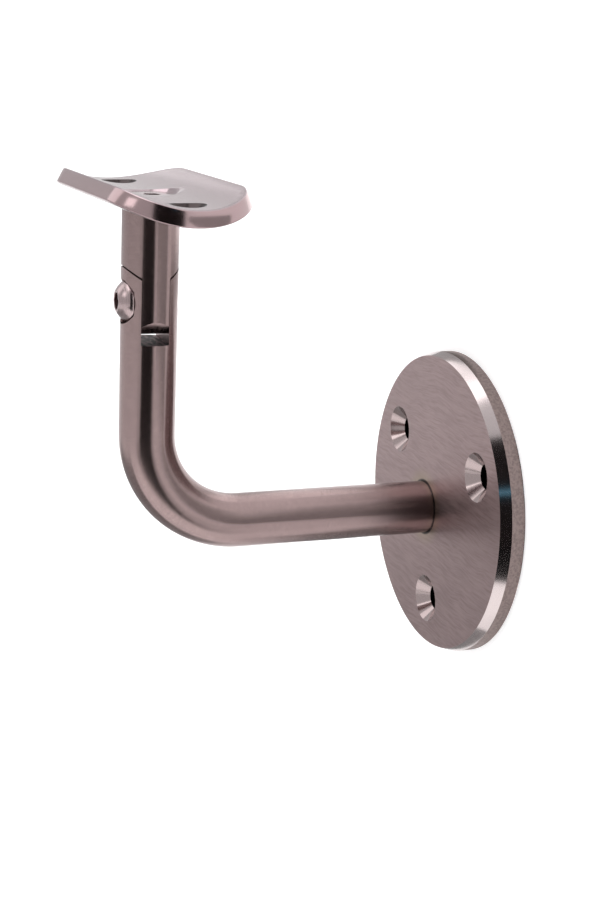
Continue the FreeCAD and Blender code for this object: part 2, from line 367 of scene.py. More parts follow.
# %% The exact direction of the turned cones
SCREW_CIRCLE = 27.5 * MM
SCREW_HOLES = [(SCREW_CIRCLE * math.cos(turn), SCREW_CIRCLE * math.sin(turn))
               for turn in np.radians((30, 150, 270))]
SINK_REACH = 6.8 * MM
SINK_LEAN = math.radians(45)
BEVEL_WIDTH = 1.0
BEVEL_DEPTH = 2.8
BEVEL_LEAN = math.atan2(BEVEL_WIDTH, BEVEL_DEPTH)


def leaning(tree, outward, lean):
    """outward * cos(lean) - Y * sin(lean); for a hole, outward points to its middle."""
    return summed(tree, scaled(tree, outward, math.cos(lean)), (0.0, -math.sin(lean), 0.0))


def turned_normal(tree, x, z, straight, plain):
    """The bevel's direction, that of each countersink within its reach, and the plain one
    where the share called straight says that the surface isn't turned."""
    chosen = leaning(tree, away_from(tree, x, z, 0.0, 0.0), BEVEL_LEAN)
    for middle in SCREW_HOLES:
        inward = scaled(tree, away_from(tree, x, z, *middle), -1.0)
        near = maths(tree, "LESS_THAN", distance_from(tree, x, z, *middle), SINK_REACH)
        chosen = picked(tree, near, chosen, leaning(tree, inward, SINK_LEAN))
    return picked(tree, straight, chosen, plain)


print("the bevel leans", round(math.degrees(BEVEL_LEAN), 1), "degrees from the rim")

# %% [markdown]
# Brushing leaves fine hair and wider streaks along X. A slow swirl bends them a little, as a
# hand-held pad does. Welding the bar into the plate tints the steel straw round the root, and a
# thin ring of painted shade lies in the crease where the bar meets the plate.

# %% Where each finish lies, and the colours of the face
FACE_STEEL = (0.372, 0.276, 0.275, 1.0)
FACE_DARK = (0.275, 0.198, 0.198, 1.0)
FACE_STREAK = (0.43, 0.325, 0.32, 1.0)
FACE_CLOUD = (0.27, 0.20, 0.197, 1.0)
HEAT_TINT = (0.37, 0.30, 0.215, 1.0)
HEAT_FROM, HEAT_TO = 7.4 * MM, 11.5 * MM
ROOT_CREASE_SHADE = (0.035, 0.027, 0.024, 1.0)
CREASE_FROM, CREASE_TO = 7.25 * MM, 7.75 * MM
SWIRL_SHIFT = (0.0, 0.0, 5 * MM)
RIM_FROM, RIM_TO = PLATE_RADIUS - 0.9 * MM, PLATE_RADIUS - 0.3 * MM
INSIDE_FROM, INSIDE_TO = PLATE_RADIUS - 1.6 * MM, PLATE_RADIUS - 2.2 * MM


def plate_zones(tree, x, z, normal):
    """Shares of the flat face, the steep walls, the sawn rim, and all that is inside the rim."""
    toward = maths(tree, "ABSOLUTE", axes(tree, normal)[1])
    from_middle = distance_from(tree, x, z, 0.0, 0.0)
    flat = ramp(tree, toward, 0.93, 0.98)
    steep = ramp(tree, toward, 0.12, 0.04)
    far_out = ramp(tree, from_middle, RIM_FROM, RIM_TO)
    inside = ramp(tree, from_middle, INSIDE_FROM, INSIDE_TO)
    return flat, steep, maths(tree, "MULTIPLY", steep, far_out), inside


def brushed_face(tree, place, from_root):
    """The face's colour and the height of its hair. from_root is the distance from the bar."""
    swirl = grain(tree, place, 45.0, detail=2.0)
    bent = vector_node(tree, "MULTIPLY_ADD", swirl, SWIRL_SHIFT, place).outputs[0]
    hair = grain(tree, bent, 3600.0, stretch=(16.0, 1.0, 1.0), detail=5.0)
    streaks = grain(tree, bent, 1100.0, stretch=(9.0, 1.0, 1.0), detail=3.0)
    clouds = grain(tree, place, 70.0, stretch=(2.0, 1.0, 1.0), detail=3.0)
    face = mixed(tree, ramp(tree, hair, 0.36, 0.64), FACE_DARK, FACE_STEEL)
    face = mixed(tree, ramp(tree, streaks, 0.40, 0.62, 0.0, 0.38), face, FACE_STREAK)
    face = mixed(tree, ramp(tree, clouds, 0.35, 0.7, 0.0, 0.3), face, FACE_CLOUD)
    heat = ramp(tree, from_root, HEAT_TO, HEAT_FROM, 0.0, 0.5)
    face = mixed(tree, heat, face, HEAT_TINT)
    # painted shade: a thin dark ring in the crease at the bar's foot
    crease_shade = ramp(tree, from_root, CREASE_TO, CREASE_FROM)
    return mixed(tree, crease_shade, face, ROOT_CREASE_SHADE), hair


print("screw holes at", [(round(x / MM, 1), round(z / MM, 1)) for x, z in SCREW_HOLES], "mm")

# %% [markdown]
# One material now joins the finishes. The brushed face and the sawn rim are rough, and the rim is
# pitted too. The turned cones are smooth, and the bores get painted shade, so dark that they
# look deep.

# %% Brushed face, turned bevel, dull rim
BEVEL_STEEL = (0.56, 0.485, 0.48, 1.0)
SINK_STEEL = (0.40, 0.325, 0.32, 1.0)
BORE_SHADE = (0.035, 0.028, 0.027, 1.0)
SAWN_DARK = (0.20, 0.155, 0.147, 1.0)
SAWN_STEEL = (0.275, 0.215, 0.205, 1.0)
TURNED_ROUGH = 0.14
SAWN_ROUGHER = 0.33
PITS_HIGHER = 2.5
HAIR_DEPTH = 0.006 * MM


def plate_finish(name):
    """Four finishes, chosen by the surface's direction and its distance from the middle."""
    material, tree, shader, place = steel_material(name)
    x, _, z = axes(tree, place)
    normal = surface_normal(tree)
    flat, steep, rim, inside = plate_zones(tree, x, z, normal)
    face, hair = brushed_face(tree, place, distance_from(tree, x, z, BAR_X, ARM_Z))
    pits = grain(tree, place, 1500.0, detail=3.0)
    turned = mixed(tree, inside, BEVEL_STEEL, SINK_STEEL)
    # painted shade: the bores' steep walls inside the rim are made nearly black
    turned = mixed(tree, maths(tree, "MULTIPLY", steep, inside), turned, BORE_SHADE)
    sawn = mixed(tree, ramp(tree, pits, 0.35, 0.6), SAWN_DARK, SAWN_STEEL)
    feed(tree, shader.inputs["Base Color"],
         mixed(tree, rim, mixed(tree, flat, turned, face), sawn))
    face_rough = maths(tree, "MULTIPLY", flat, ramp(tree, hair, 0.3, 0.7, 0.36, 0.46))
    turned_rough = maths(tree, "MULTIPLY", maths(tree, "SUBTRACT", 1.0, flat), TURNED_ROUGH)
    rough = maths(tree, "ADD", face_rough, turned_rough)
    rough = maths(tree, "ADD", rough, maths(tree, "MULTIPLY", rim, SAWN_ROUGHER))
    feed(tree, shader.inputs["Roughness"], rough)
    height = maths(tree, "ADD", maths(tree, "MULTIPLY", hair, flat),
                   maths(tree, "MULTIPLY", pits, maths(tree, "MULTIPLY", rim, PITS_HIGHER)))
    straight = maths(tree, "MAXIMUM", flat, steep)
    bumped(tree, shader, height, HAIR_DEPTH, turned_normal(tree, x, z, straight, normal))
    shader.inputs["Anisotropic"].default_value = 0.5
    feed(tree, shader.inputs["Tangent"], vector_of(tree, 0.0, 0.0, 1.0))
    return material


dress("wall_plate", plate_finish("brushed_plate"))

# %% [markdown]
# ## Weld and sheet steel
#
# The weld is ground flush, and the saddle is pressed from bright sheet. Both show a long grain
# from the mill and soft clouds, so they share one helper.

# %% Steel with a long grain, and the weld
WELD_STEEL = (0.36, 0.29, 0.28, 1.0)
GRAIN_DEPTH = 0.003 * MM


def long_grained(tree, place, colour, scale, rough, spread):
    """The colour, roughness and height of steel with a long grain along X and soft clouds."""
    height = grain(tree, place, scale, stretch=(14.0, 1.0, 1.0))
    clouds = grain(tree, place, 110.0, detail=3.0)
    dark = shade(colour, 0.86)
    shown = mixed(tree, ramp(tree, height, 0.3, 0.7), dark, colour)
    shown = mixed(tree, ramp(tree, clouds, 0.4, 0.75, 0.0, 0.4), shown, dark)
    return shown, ramp(tree, height, 0.3, 0.7, rough, rough + spread), height


def weld_finish(name):
    """A ground weld: dull, with a coarse grain."""
    material, tree, shader, place = steel_material(name)
    shown, rough, height = long_grained(tree, place, WELD_STEEL, scale=1200.0, rough=0.35,
                                        spread=0.1)
    feed(tree, shader.inputs["Base Color"], shown)
    feed(tree, shader.inputs["Roughness"], rough)
    bumped(tree, shader, height, GRAIN_DEPTH)
    return material


dress("root_weld", weld_finish("weld_steel"))

# %% [markdown]
# ## The saddle
#
# The saddle starts as a flat blank with round ends. Rolling wraps it round the rail: a point at a
# distance v across the blank moves to the angle v / R. So each shape is drawn on the flat blank
# first, where it is simple, and one function rolls it.

# %% The saddle's blank, and how it is rolled
SEAT_RADIUS = 32.0
SHEET = 4.0
HALF_LENGTH = 33.4
HALF_WIDTH = 15.5
HALF_ACROSS = SEAT_RADIUS * math.asin(HALF_WIDTH / SEAT_RADIUS)
CORNER = 15.5
ROUNDING = 0.4


def blank_edge(inset):
    """The blank's outline, drawn in by inset: four corner arcs joined by straight runs.

    u = +-(half length - corner) + (corner - inset) * cos(angle), and v the same with the sine"""
    points = []
    for quarter, (side_u, side_v) in enumerate(((1, 1), (-1, 1), (-1, -1), (1, -1))):
        angle = np.radians(90 * quarter + np.linspace(0, 90, 25))
        u = side_u * (HALF_LENGTH - CORNER) + (CORNER - inset) * np.cos(angle)
        v = side_v * (HALF_ACROSS - CORNER) + (CORNER - inset) * np.sin(angle)
        points.append(np.stack([u, v], -1))
    return np.concatenate(points)


def rolled(blank, depth):
    """Wraps points (u, v) of the blank round the rail, depth below the seat's surface.

    x = u,  y = (R + depth) * sin(v / R),  z = R - (R + depth) * cos(v / R)"""
    angle = blank[..., 1] / SEAT_RADIUS
    radius = SEAT_RADIUS + depth
    return np.stack([blank[..., 0], radius * np.sin(angle),
                     SEAT_RADIUS - radius * np.cos(angle)], -1)


print(f"blank {2 * HALF_LENGTH:.1f} by {2 * HALF_ACROSS:.1f} mm, rolled to {SEAT_RADIUS:.0f} mm")

# %% [markdown]
# The holes are drilled straight down after rolling. Seen on the flat blank they are therefore not
# quite round, and a countersink is wider where the sheet rises beside it.

# %% Where the holes cut the sheet
ROUND = np.linspace(0.0, 2 * math.pi, 48, endpoint=False)
RAIL_HOLE_AT = 24.0
RAIL_BORE = 2.6
RAIL_SINK = 4.2
RAIL_SINK_DEPTH = 1.6
SCREW_BORE = 3.06
SCREW_SINK = 6.31
SCREW_SINK_DEPTH = 3.25
FLAT_SPOT = 7.3
FLAT_SPOT_DEPTH = 3.252


def hole_on_sheet(centre, radius, depth, widens=False):
    """Where an upright hole cuts the sheet's face, in (u, v).

    A countersink widens by as much as the rolled sheet rises: r = radius + rise(r sin angle).
    Twelve rounds of that formula settle it. Then u = centre + r cos(angle), and v is the arc
    whose sine is r sin(angle) / (R + depth)."""
    reach = SEAT_RADIUS + depth
    cut = np.full(ROUND.shape, float(radius))
    for _ in range(12 if widens else 0):
        cut = radius + reach - np.sqrt(reach ** 2 - (cut * np.sin(ROUND)) ** 2)
    across = SEAT_RADIUS * np.arcsin(cut * np.sin(ROUND) / reach)
    return np.stack([centre + cut * np.cos(ROUND), across], -1)


def level_ring(centre, radius, height):
    """A round ring at one height: x = centre + radius * cos, y = radius * sin."""
    return np.stack([centre + radius * np.cos(ROUND), radius * np.sin(ROUND),
                     np.full(ROUND.shape, height)], -1)


seat_holes = [hole_on_sheet(0.0, SCREW_SINK, 0.0, widens=True),
              hole_on_sheet(RAIL_HOLE_AT, RAIL_SINK, 0.0, widens=True),
              hole_on_sheet(-RAIL_HOLE_AT, RAIL_SINK, 0.0, widens=True)]
under_holes = [hole_on_sheet(0.0, FLAT_SPOT, SHEET),
               hole_on_sheet(RAIL_HOLE_AT, RAIL_BORE, SHEET),
               hole_on_sheet(-RAIL_HOLE_AT, RAIL_BORE, SHEET)]
print("the middle countersink widens to", round(2 * seat_holes[0][:, 1].max(), 2), "mm")

# %% [markdown]
# A broad face is a flat shape with holes. Long thin triangles would shade badly once it is
# rolled, so a grid of points is laid inside it and all are joined into even triangles.

# %% Fill a broad face with triangles
GRID_U = np.arange(-33.0, 33.5, 1.5)
GRID_V = np.arange(-15.0, 15.5, 1.25)
EDGE_MARGIN = 1.2
HOLE_MARGIN = 0.6
MERGE_FLAT = 1e-6


def polar(points, middle):
    """Distance and angle of points seen from the middle."""
    u, v = (points - middle).T
    return np.hypot(u, v), np.arctan2(v, u) % (2 * math.pi)


def free_grid(holes):
    """The grid's points that keep clear of the outline and of the holes."""
    grid = np.stack(np.meshgrid(GRID_U, GRID_V), -1).reshape(-1, 2)
    over = np.maximum(np.abs(grid) - (HALF_LENGTH - CORNER, HALF_ACROSS - CORNER), 0.0)
    keep = np.hypot(over[:, 0], over[:, 1]) < CORNER - EDGE_MARGIN
    for hole in holes:
        middle = hole.mean(0)
        keep &= polar(grid, middle)[0] > polar(hole, middle)[0].max() + HOLE_MARGIN
    return grid[keep]


def within(hole, points):
    """True for points nearer to the hole's middle than its rim is in the same direction."""
    middle = hole.mean(0)
    rim, around = polar(hole, middle)
    distance, turn = polar(points, middle)
    order = np.argsort(around)
    return distance < 0.999 * np.interp(turn, around[order], rim[order], period=2 * math.pi)


def filled_face(outline, holes, depth):
    """Triangles between the outline and the holes, with a grid of points in between."""
    loops = [outline] + holes
    edges = []
    first = 0
    for loop in loops:
        index = np.arange(first, first + len(loop))
        edges.append(np.stack([index, np.roll(index, -1)], -1))
        first += len(loop)
    points = np.concatenate(loops + [free_grid(holes)])
    made = delaunay_2d_cdt(points.tolist(), np.concatenate(edges).tolist(), [], 0, MERGE_FLAT)
    flat = np.array(made[0])
    corners = np.array(made[2])
    centres = flat[corners].mean(1)
    in_hole = np.any([within(hole, centres) for hole in holes], axis=0)
    return rolled(flat, depth), corners[~in_hole]


faces_of_saddle = [filled_face(blank_edge(ROUNDING), seat_holes, 0.0),
                   filled_face(blank_edge(ROUNDING), under_holes, SHEET)]
print("broad faces:", [len(corners) for _, corners in faces_of_saddle], "triangles")

# %% [markdown]
# The edge is a small rounded profile carried along the outline. A hole's wall is made the same
# way, from a ring on the seat, a ring or two inside the sheet, and a ring on its underside.

# %% Strips for the edge and the holes' walls
ROUNDED_EDGE = ((ROUNDING, 0.0), (0.22, 0.05), (0.06, 0.2), (0.0, ROUNDING))


def strip(rows):
    """Quads between closed rows of points: each joins two neighbours to the next row's two."""
    rows = np.stack(rows)
    count = rows.shape[1]
    index = np.arange(rows.shape[0] * count).reshape(rows.shape[0], count)
    here, over = index[:-1], index[1:]
    faces = np.stack([here, np.roll(here, -1, 1), np.roll(over, -1, 1), over], -1)
    return rows.reshape(-1, 3), faces.reshape(-1, 4)


edge_rows = [rolled(blank_edge(inset), depth) for inset, depth in ROUNDED_EDGE]
edge_rows += [rolled(blank_edge(inset), SHEET - depth) for inset, depth in ROUNDED_EDGE[::-1]]
strips_of_saddle = [strip(edge_rows),
                    strip([rolled(seat_holes[0], 0.0),
                           level_ring(0.0, SCREW_BORE, -SCREW_SINK_DEPTH),
                           level_ring(0.0, FLAT_SPOT, -FLAT_SPOT_DEPTH),
                           rolled(under_holes[0], SHEET)])]
for seat_hole, under_hole, centre in zip(seat_holes[1:], under_holes[1:],
                                         (RAIL_HOLE_AT, -RAIL_HOLE_AT)):
    strips_of_saddle.append(strip([rolled(seat_hole, 0.0),
                                   level_ring(centre, RAIL_BORE, -RAIL_SINK_DEPTH),
                                   rolled(under_hole, SHEET)]))
print("edge and walls:", [len(corners) for _, corners in strips_of_saddle], "quads")

# %% [markdown]
# The parts share their border points. Merging those closes the skin, and then the faces can be
# turned outward all at once.

# %% Put the saddle together and turn it
SADDLE_TURN = math.radians(5)
SCREW_SUNK = 0.25 * MM
SEAT = Vector((BAR_X, UPRIGHT_Y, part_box("saddle_screw")[1].z + SCREW_SUNK))
MERGE_SOLID = 1e-7


def softened(mesh, degrees):
    """Smooth shading, except along edges that bend by more than some degrees."""
    mesh.polygons.foreach_set("use_smooth", [True] * len(mesh.polygons))
    mesh.set_sharp_from_angle(angle=math.radians(degrees))


def turned_and_placed(points):
    """From millimetres in the saddle's own axes to metres in the bracket's.

    x = u cos(turn) - v sin(turn),  y = u sin(turn) + v cos(turn),  then the seat's place"""
    cos, sin = math.cos(SADDLE_TURN), math.sin(SADDLE_TURN)
    x = points[:, 0] * cos - points[:, 1] * sin
    y = points[:, 0] * sin + points[:, 1] * cos
    return np.stack([x, y, points[:, 2]], -1) * MM + np.array(SEAT)


def saddle_mesh(name, parts):
    """One closed mesh from parts, each a pair of points and faces.

    Points nearer to each other than MERGE_SOLID, in metres, become one."""
    firsts = np.cumsum([0] + [len(points) for points, _ in parts])
    points = turned_and_placed(np.concatenate([points for points, _ in parts]))
    faces = []
    for first, (_, corners) in zip(firsts, parts):
        faces += (corners + first).tolist()
    mesh = bpy.data.meshes.new(name)
    mesh.from_pydata(points.tolist(), [], faces)
    form = bmesh.new()
    form.from_mesh(mesh)
    bmesh.ops.remove_doubles(form, verts=form.verts, dist=MERGE_SOLID)
    bmesh.ops.recalc_face_normals(form, faces=form.faces)
    open_edges = sum(not edge.is_manifold for edge in form.edges)
    form.to_mesh(mesh)
    form.free()
    softened(mesh, 34)
    print(name, len(mesh.polygons), "faces,", open_edges, "open edges")
    return mesh


saddle_skin = saddle_mesh("rolled_saddle", faces_of_saddle + strips_of_saddle)

# %% [markdown]
# The saddle's edge is ground after pressing. The way the surface faces tells the two finishes
# apart: the broad faces look up or down, the ground edge looks sideways. Inside the rail holes
# hardly any light arrives, so painted shade makes the steel there nearly black.

# %% The saddle's sheet, its ground edge and painted shade in its holes
SHEET_STEEL = (0.405, 0.325, 0.342, 1.0)
EDGE_STEEL = (0.375, 0.275, 0.28, 1.0)
HOLE_SHADE = (0.05, 0.04, 0.04, 1.0)
SHADE_FROM, SHADE_TO = 4.7 * MM, 4.9 * MM
EDGE_SMOOTHER = 0.05


def from_rail_hole(tree, place):
    """A point's distance from the nearer rail hole's axis, in the turned saddle's own axes.

    u = x cos(turn) + y sin(turn),  v = y cos(turn) - x sin(turn),  both from the seat's middle,
    and the distance is the root of (|u| - the hole's place) squared plus v squared."""
    x, y, _ = axes(tree, place)
    x = maths(tree, "SUBTRACT", x, SEAT.x)
    y = maths(tree, "SUBTRACT", y, SEAT.y)
    cos, sin = math.cos(SADDLE_TURN), math.sin(SADDLE_TURN)
    u = maths(tree, "ADD", maths(tree, "MULTIPLY", x, cos), maths(tree, "MULTIPLY", y, sin))
    v = maths(tree, "SUBTRACT", maths(tree, "MULTIPLY", y, cos), maths(tree, "MULTIPLY", x, sin))
    return distance_from(tree, maths(tree, "ABSOLUTE", u), v, RAIL_HOLE_AT * MM, 0.0)


def saddle_finish(name):
    """Bright sheet on broad faces, ground steel on the edge, painted shade in the rail holes."""
    material, tree, shader, place = steel_material(name)
    shown, rough, height = long_grained(tree, place, SHEET_STEEL, scale=2500.0, rough=0.19,
                                        spread=0.06)
    upright = maths(tree, "ABSOLUTE", axes(tree, surface_normal(tree))[2])
    sideways = ramp(tree, upright, 0.72, 0.55)
    shown = mixed(tree, sideways, shown, EDGE_STEEL)
    rough = maths(tree, "SUBTRACT", rough, maths(tree, "MULTIPLY", sideways, EDGE_SMOOTHER))
    near = ramp(tree, from_rail_hole(tree, place), SHADE_TO, SHADE_FROM)
    # painted shade: the rail holes' walls are made nearly black
    in_hole = maths(tree, "MULTIPLY", near, ramp(tree, upright, 0.94, 0.84))
    feed(tree, shader.inputs["Base Color"], mixed(tree, in_hole, shown, HOLE_SHADE))
    feed(tree, shader.inputs["Roughness"], rough)
    bumped(tree, shader, height, GRAIN_DEPTH)
    return material


saddle_skin.materials.append(saddle_finish("saddle_steel"))
rolled_saddle = new_object("rolled_saddle", saddle_skin)
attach(rolled_saddle, "saddle")
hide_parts("saddle_plate")
print("the saddle wears", saddle_skin.materials[0].name)

# %% [markdown]
# ## The two screws
#
# A screw is a surface of revolution with two exceptions: the thread winds, and the key's socket
# has six sides. Both still fit a grid of rings: each ring's radius may change with the angle.

# %% Rings, threads and hexagon sockets
COLUMNS = 96
TURN = np.linspace(0.0, 2 * math.pi, COLUMNS, endpoint=False)
THREAD_RADIUS = 3.0
THREAD_DEPTH = 0.5
THREAD_PITCH = 1.0
THREAD_FADE = 1.0
END_RADIUS = 2.2
END_CHAMFER = 0.8
SOCKET = 4.0
SOCKET_DEPTH = 2.0


def ring(radius, height):
    """One ring of the grid in millimetres. Either value may be an array over the angle."""
    return np.broadcast_to(radius, TURN.shape), np.broadcast_to(height, TURN.shape)


def shank(end, neck):
    """The screw's flat end, its thread and the plain neck under its head.

    r = radius - depth * triangle(height / pitch + angle / full turn), faded out at the neck"""
    rings = [ring(0.5, end), ring(END_RADIUS, end)]
    for height in np.arange(end + END_CHAMFER, neck, THREAD_PITCH / 10):
        phase = (height / THREAD_PITCH + TURN / (2 * math.pi)) % 1.0
        depth = THREAD_DEPTH * min(1.0, (neck - height) / THREAD_FADE)
        rings.append(ring(THREAD_RADIUS - depth * (1 - np.abs(2 * phase - 1)), height))
    return rings + [ring(THREAD_RADIUS, neck)]


def socket_rings():
    """The socket's broken edge, its six walls and the drilled cone in its floor.

    r(angle) = width / 2 / cos(angle from the middle of the nearest side)"""
    wide = SOCKET / 2 / np.cos((TURN + math.pi / 6) % (math.pi / 3) - math.pi / 6)
    return [ring(wide + 0.16, 0.0), ring(wide + 0.08, -0.03), ring(wide, -0.14),
            ring(wide, -0.9 * SOCKET_DEPTH), ring(wide * 0.99, -SOCKET_DEPTH),
            ring(wide * 0.8, -SOCKET_DEPTH), ring(wide * 0.4, -SOCKET_DEPTH - 0.5),
            ring(0.02, -SOCKET_DEPTH - 1.0)]


print("a socket takes", len(socket_rings()), "rings of", COLUMNS, "points")

# %% [markdown]
# The grid of rings is bent round the screw's axis and closed by a cap at each end. The finished
# screw then takes the plain one's place and rides on the same body.

# %% Join rings into a screw and put it in place
def screw_mesh(name, rings, top, axis, across):
    """Joins the rings into one closed skin. top is the middle of the head's top.

    point = top + r * (cos(turn) * across + sin(turn) * other) + height * axis, where other is
    at right angles to the axis and to across"""
    radius = np.array([r for r, _ in rings]) * MM
    height = np.array([h for _, h in rings]) * MM
    other = np.cross(axis, across)
    round_it = np.cos(TURN)[None, :, None] * across + np.sin(TURN)[None, :, None] * other
    points = np.array(top) + radius[..., None] * round_it + height[..., None] * np.array(axis)
    points, faces = strip(points)
    index = np.arange(len(points))
    caps = [index[:COLUMNS][::-1].tolist(), index[-COLUMNS:].tolist()]
    mesh = bpy.data.meshes.new(name)
    mesh.from_pydata(points.tolist(), [], faces.tolist() + caps)
    softened(mesh, 32)
    return mesh


def place_screw(name, node_name, body, mesh, material):
    """Puts a detailed screw where the plain one was."""
    mesh.materials.append(material)
    made = new_object(name, mesh)
    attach(made, body)
    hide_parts(node_name)
    print(name, "has", len(mesh.polygons), "faces and replaces", node_name)


print("screws are joined from rings of", COLUMNS, "points")

# %% [markdown]
# A screw is turned on a lathe, which leaves rings round its axis, finer than the eye can count.
# The noise reads one number only, the distance from the axis, so it can't do anything but rings.

# %% Turned steel for the screws
LATHE_DEPTH = 0.002 * MM


def bright_screw(name, centre, across, colour):
    """Faint rings round the screw's axis. across is 1 for the axes across the screw, else 0."""
    material, tree, shader, place = steel_material(name)
    offset = vector_node(tree, "SUBTRACT", place, tuple(centre)).outputs[0]
    flat = vector_node(tree, "MULTIPLY", offset, across).outputs[0]
    from_axis = vector_node(tree, "LENGTH", flat).outputs["Value"]
    stripes = node(tree, "ShaderNodeTexNoise", settings={"noise_dimensions": "1D"}, W=from_axis,
                   Scale=9000.0, Detail=3.0).outputs[0]
    dust = grain(tree, place, 1400.0, detail=3.0)
    feed(tree, shader.inputs["Base Color"],
         mixed(tree, ramp(tree, stripes, 0.35, 0.65), shade(colour, 0.8), colour))
    feed(tree, shader.inputs["Roughness"], ramp(tree, dust, 0.3, 0.75, 0.20, 0.28))
    bumped(tree, shader, stripes, LATHE_DEPTH)
    return material


print("the lathe's rings are up to", LATHE_DEPTH / MM, "mm deep")

# %% [markdown]
# The knuckle's screw has a button head: a low rim and then a part of a ball, which stops where
# the socket begins.

# %% The button-head screw through the knuckle
HEAD_RADIUS = (pivot_high.x - pivot_low.x) / 2 / MM
BUTTON_STEEL = (0.44, 0.345, 0.345, 1.0)
HEAD_UNDER = -3.3
BALL_RADIUS = 5.92
BALL_TOP_RADIUS = 2.56
BALL_DROP = math.sqrt(BALL_RADIUS ** 2 - BALL_TOP_RADIUS ** 2)
button_top = Vector(((pivot_low.x + pivot_high.x) / 2, pivot_low.y, PIVOT_Z))
button_rings = shank(-(pivot_high.y - pivot_low.y) / MM, HEAD_UNDER)
button_rings += [ring(HEAD_RADIUS - 0.15, HEAD_UNDER), ring(HEAD_RADIUS, HEAD_UNDER + 0.15),
                 ring(HEAD_RADIUS, -2.85), ring(HEAD_RADIUS - 0.03, -2.72)]
button_rings += [ring(r, math.sqrt(BALL_RADIUS ** 2 - r ** 2) - BALL_DROP)
                 for r in np.linspace(HEAD_RADIUS - 0.12, BALL_TOP_RADIUS + 0.06, 22)]
button_rings += socket_rings()
place_screw("button_screw", "pivot_screw", "bracket",
            screw_mesh("button_screw", button_rings, button_top, (0.0, -1.0, 0.0),
                       (0.0, 0.0, 1.0)),
            bright_screw("button_steel", button_top, (1.0, 0.0, 1.0), BUTTON_STEEL))

# %% [markdown]
# The saddle's screw has a flat head: a cone that fills its countersink, with a thin rounded rim.

# %% The flat-head screw in the saddle
flat_low, flat_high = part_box("saddle_screw")
FLAT_HEAD_STEEL = (0.52, 0.45, 0.455, 1.0)
FLAT_HEAD_UNDER = -3.0
flat_top = Vector(((flat_low.x + flat_high.x) / 2, (flat_low.y + flat_high.y) / 2, flat_high.z))
flat_rings = shank(-(flat_high.z - flat_low.z) / MM, FLAT_HEAD_UNDER)
flat_rings += [ring(5.82, -0.18), ring(5.93, -0.08), ring(5.9, -0.02), ring(5.8, 0.0),
               ring(3.0, 0.0)]
flat_rings += socket_rings()
place_screw("flat_screw", "saddle_screw", "stem",
            screw_mesh("flat_screw", flat_rings, flat_top, (0.0, 0.0, 1.0), (1.0, 0.0, 0.0)),
            bright_screw("flat_screw_bright", flat_top, (1.0, 1.0, 0.0), FLAT_HEAD_STEEL))

# %% [markdown]
# ## Wall and floor
#
# Polished steel shows its surroundings. A white wall behind and a white floor below make it pale.
# The wall is clear from behind, so that the back of the plate can be looked at too.

# %% A pale wall and a pale floor
REACH = 2.5
FLOOR_Z = -0.42
WHITE = (0.9, 0.9, 0.9, 1.0)


def stage_material(name, colour, glow=0.0, tint=PLAIN, see_through_from_behind=False):
    """A matt colour that may also glow a little, and may be clear when seen from behind."""
    material, tree = bare_material(name)
    matt = node(tree, "ShaderNodeBsdfDiffuse", Color=colour)
    shine = node(tree, "ShaderNodeEmission", Color=tint + (1.0,), Strength=glow)
    shown = node(tree, "ShaderNodeAddShader", matt.outputs[0], shine.outputs[0])
    if see_through_from_behind:
        behind = node(tree, "ShaderNodeNewGeometry").outputs["Backfacing"]
        clear = node(tree, "ShaderNodeBsdfTransparent")
        shown = node(tree, "ShaderNodeMixShader", behind, shown.outputs[0], clear.outputs[0])
    node(tree, "ShaderNodeOutputMaterial", shown.outputs[0])
    return material


def sheet(name, corners, material):
    """One flat sheet of the stage with any number of corners."""
    mesh = bpy.data.meshes.new(name)
    mesh.from_pydata(corners, [], [range(len(corners))])
    mesh.materials.append(material)
    made = new_object(name, mesh)
    return made


sheet("wall", [(-REACH, 0, FLOOR_Z), (REACH, 0, FLOOR_Z), (REACH, 0, REACH), (-REACH, 0, REACH)],
      stage_material("wall_white", WHITE, glow=0.40, see_through_from_behind=True))
sheet("floor", [(-REACH, -REACH, FLOOR_Z), (REACH, -REACH, FLOOR_Z), (REACH, REACH, FLOOR_Z),
                (-REACH, REACH, FLOOR_Z)], stage_material("floor_white", WHITE, glow=0.25))
print("the floor lies", -FLOOR_Z, "m below the plate's centre")

# %% [markdown]
# ## Cards
#
# A studio sets grey and white cards round polished steel, to draw its bands of light and shade.
# Here a card shows in reflections alone: it hides nothing and throws no shadow.

# %% Cards that only the steel can see
ON_THE_WALL = -0.0015
ON_THE_FLOOR = FLOOR_Z + 0.004


def card(name, corners, grey, glow=0.0, tint=PLAIN):
    """A sheet that shows in reflections alone."""
    made = sheet(name, corners, stage_material(name + "_paint", (grey, grey, grey, 1.0),
                                               glow, tint))
    made.visible_camera = False
    made.visible_shadow = False
    made.visible_diffuse = False


def wall_card(name, left, low, right, high, grey, glow):
    """A card on the wall, from its lower left corner to its upper right one."""
    card(name, [(left, ON_THE_WALL, low), (right, ON_THE_WALL, low),
                (right, ON_THE_WALL, high), (left, ON_THE_WALL, high)], grey, glow)


def floor_card(name, left, front, right, back, grey, glow):
    """A card that lies on the floor."""
    card(name, [(left, front, ON_THE_FLOOR), (right, front, ON_THE_FLOOR),
                (right, back, ON_THE_FLOOR), (left, back, ON_THE_FLOOR)], grey, glow)


